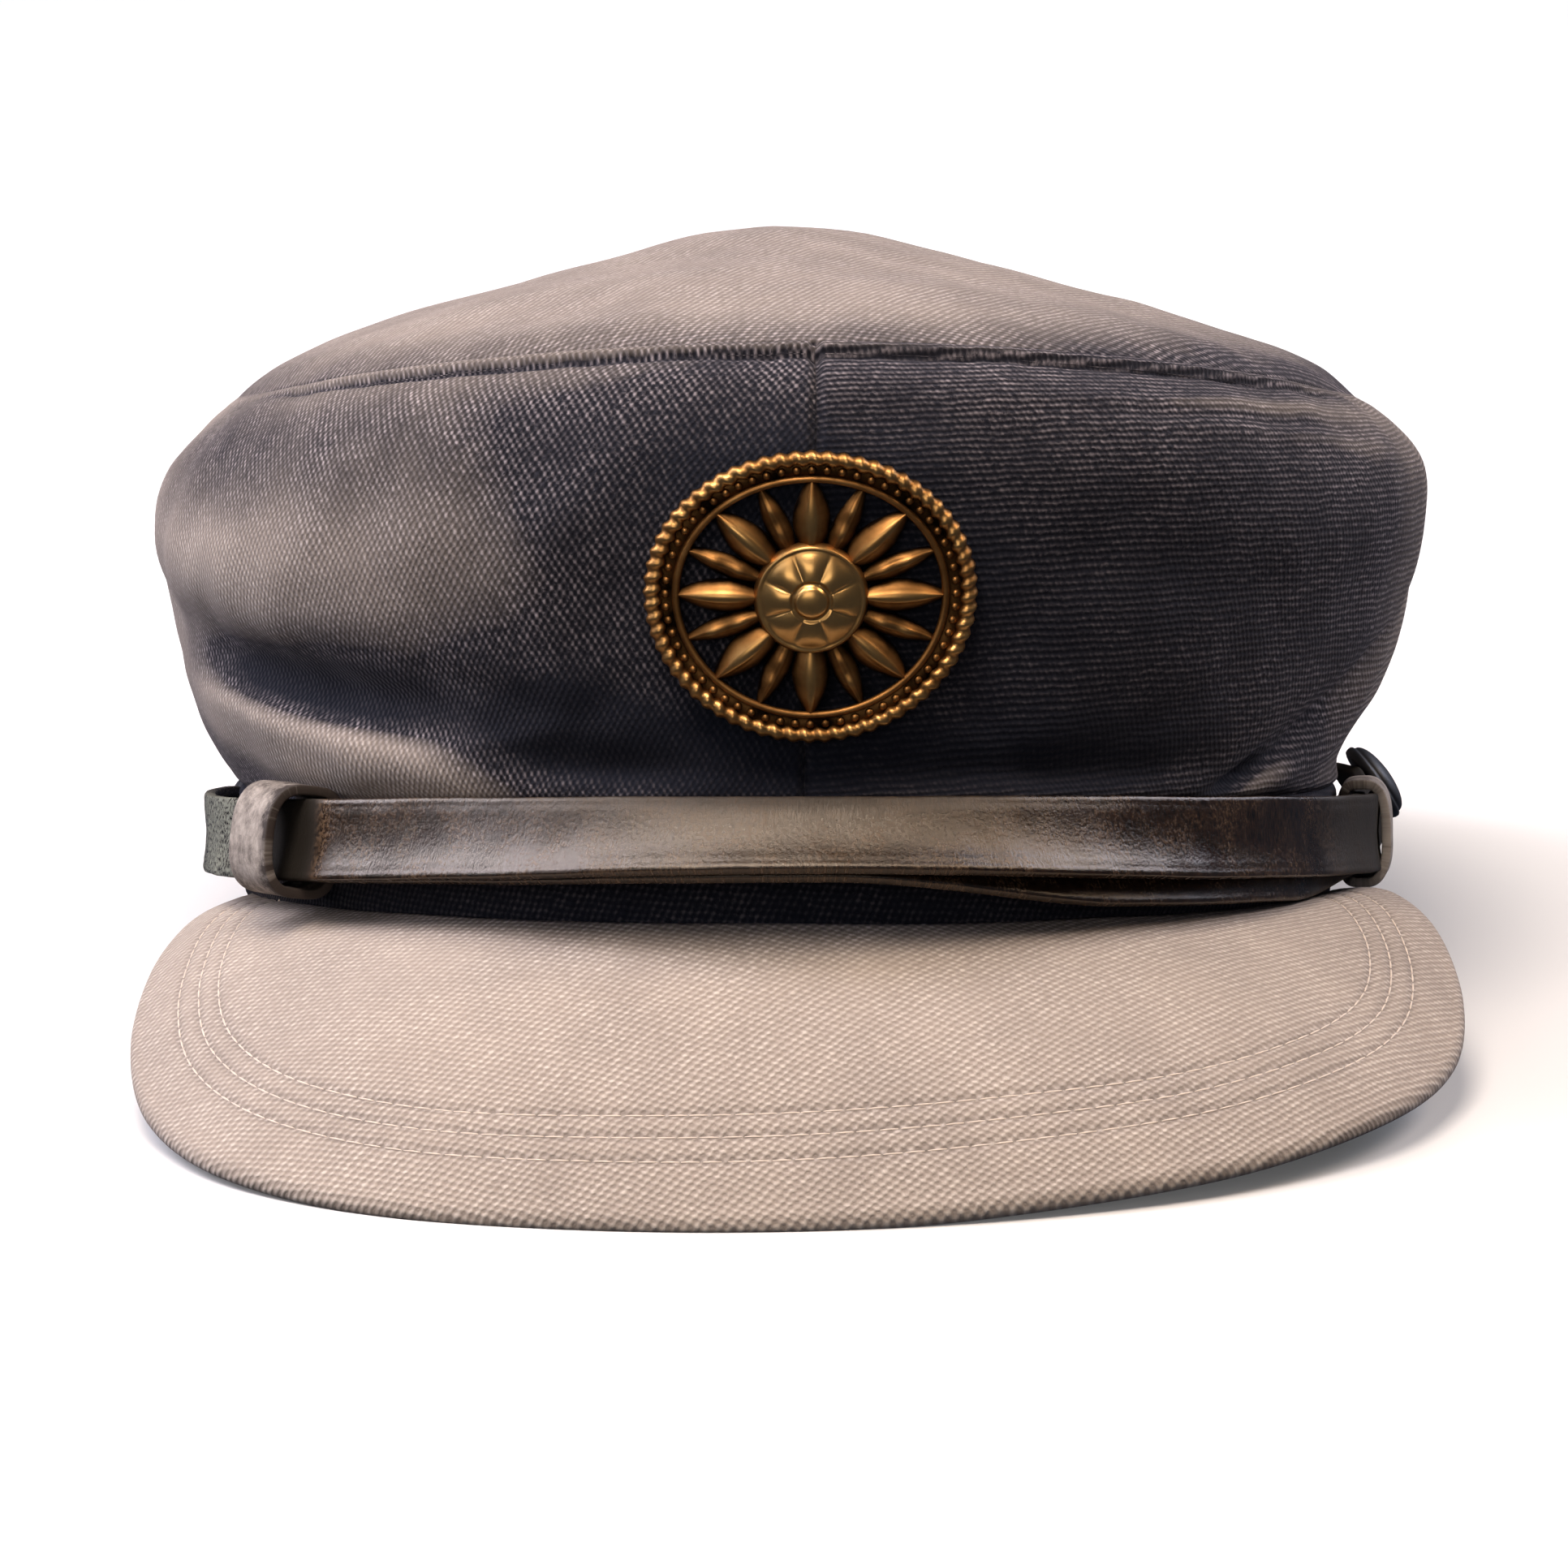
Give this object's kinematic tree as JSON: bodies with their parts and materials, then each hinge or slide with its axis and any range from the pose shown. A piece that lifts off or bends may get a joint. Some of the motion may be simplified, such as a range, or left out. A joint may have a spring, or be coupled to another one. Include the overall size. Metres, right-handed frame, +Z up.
{
  "type": "peaked cap",
  "caption": "Soft-crowned twill peaked cap with a stitched cloth peak, a doubled leather chin strap held by sliding loops and side buttons, and a pierced brass front badge.",
  "frame": {"origin": "middle of the cap's box, on the surface that it rests on", "axes": "-Y the way the cap faces, +X on the viewer's right when the cap is seen from its front, +Z up"},
  "size_m": [0.1888, 0.2588, 0.1139],
  "materials": {
    "twill": "coarse woollen twill, matt",
    "strap_leather": "polished, creased and worn at the edges",
    "loop_leather": "worn through to the pale suede side",
    "badge_brass": "aged, bright on the raised parts and dark in the hollows",
    "button": "black, domed and polished"
  },
  "bodies": {
    "root": {"crown_tip": "twill", "side_panel_left": "twill", "side_panel_right": "twill", "head_band": "twill", "peak": "twill", "badge": "badge_brass", "badge_pin": "badge_brass", "strap_outer": "strap_leather", "strap_inner": "strap_leather", "slider_left": "loop_leather", "slider_right": "loop_leather", "button_left": "button", "button_right": "button"}
  },
  "joints": []
}
